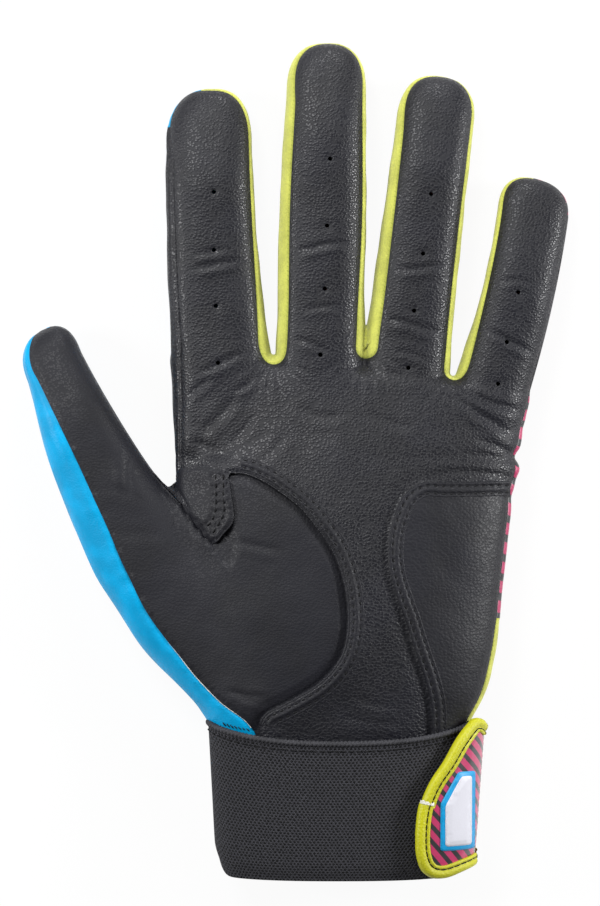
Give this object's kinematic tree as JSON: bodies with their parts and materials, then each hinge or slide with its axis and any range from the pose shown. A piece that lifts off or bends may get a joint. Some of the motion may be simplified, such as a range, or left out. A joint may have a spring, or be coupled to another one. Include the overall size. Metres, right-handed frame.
{
  "type": "batting glove",
  "caption": "Left-hand batting glove with a black leather palm, lime finger sides, blue thumb back, elastic cuff and a hook-and-loop wrist strap; fingers, thumb and strap tab fold.",
  "frame": {"origin": "middle of the glove's box in X and Y, on the surface that the glove's back lies on", "axes": "+X towards the little finger, +Y towards the fingertips, +Z out of the palm"},
  "size_m": [0.1554, 0.24, 0.0336],
  "materials": {
    "black_leather": "fine grained, soft sheen",
    "lime_suede": "short napped knit",
    "blue_synthetic": "smooth coated synthetic",
    "magenta_print": "magenta and black diagonal stripes, coated",
    "black_stretch": "stretch knit",
    "black_elastic": "ribbed woven elastic",
    "lime_binding": "coated binding tape",
    "black_pile": "hook and loop pile",
    "grey_label": "moulded, satin",
    "blue_label": "moulded, satin"
  },
  "bodies": {
    "hand": {"palm_panel": "black_leather", "thenar_panel": "black_leather", "thumb_crotch_patch": "black_leather", "heel_patch": "black_leather", "index_outer_side_base": "black_leather", "index_middle_fourchette_fold": "lime_suede", "middle_ring_fourchette_fold": "lime_suede", "ring_little_fourchette_fold": "lime_suede", "hand_back": "magenta_print", "knuckle_stretch_panel": "black_stretch", "ulnar_gusset": "lime_suede", "thumb_back_base": "blue_synthetic", "cuff_elastic": "black_elastic", "strap_base": "magenta_print", "loop_patch": "black_pile"},
    "index_finger": {"index_front": "black_leather", "index_back": "blue_synthetic", "index_outer_side": "black_leather", "index_fourchette": "lime_suede"},
    "middle_finger": {"middle_front": "black_leather", "middle_back": "magenta_print", "middle_fourchette_radial": "lime_suede", "middle_fourchette_ulnar": "lime_suede"},
    "ring_finger": {"ring_front": "black_leather", "ring_back": "magenta_print", "ring_fourchette_radial": "lime_suede", "ring_fourchette_ulnar": "lime_suede"},
    "little_finger": {"little_front": "black_leather", "little_back": "magenta_print", "little_fourchette": "lime_suede"},
    "thumb": {"thumb_front": "black_leather", "thumb_back": "blue_synthetic"},
    "strap_tab": {"tab_backing": "black_stretch", "tab_face": "magenta_print", "tab_binding": "lime_binding", "hook_patch": "black_pile", "label_plate": "grey_label", "label_frame": "blue_label"}
  },
  "joints": [
    {"name": "index_bend", "type": "hinge", "parent": "hand", "child": "index_finger", "pos_m": [-0.0217, 0.03587, 0.01945], "axis": [0.9983, 0.0591, 0], "range_deg": [0, 75]},
    {"name": "middle_bend", "type": "hinge", "parent": "hand", "child": "middle_finger", "pos_m": [0.007, 0.039, 0.02033], "axis": [0.9998, -0.021, 0], "range_deg": [0, 75]},
    {"name": "ring_bend", "type": "hinge", "parent": "hand", "child": "ring_finger", "pos_m": [0.03395, 0.0397, 0.01934], "axis": [0.9935, -0.1136, 0], "range_deg": [0, 75]},
    {"name": "little_bend", "type": "hinge", "parent": "hand", "child": "little_finger", "pos_m": [0.06016, 0.02701, 0.01785], "axis": [0.9719, -0.2355, 0], "range_deg": [0, 75]},
    {"name": "thumb_bend", "type": "hinge", "parent": "hand", "child": "thumb", "pos_m": [-0.04934, -0.01748, 0.02231], "axis": [0.8804, 0.4743, 0], "range_deg": [0, 50]},
    {"name": "strap_open", "type": "hinge", "parent": "hand", "child": "strap_tab", "pos_m": [0.055, -0.098, 0.017], "axis": [0, 1, 0], "range_deg": [0, 150]}
  ]
}
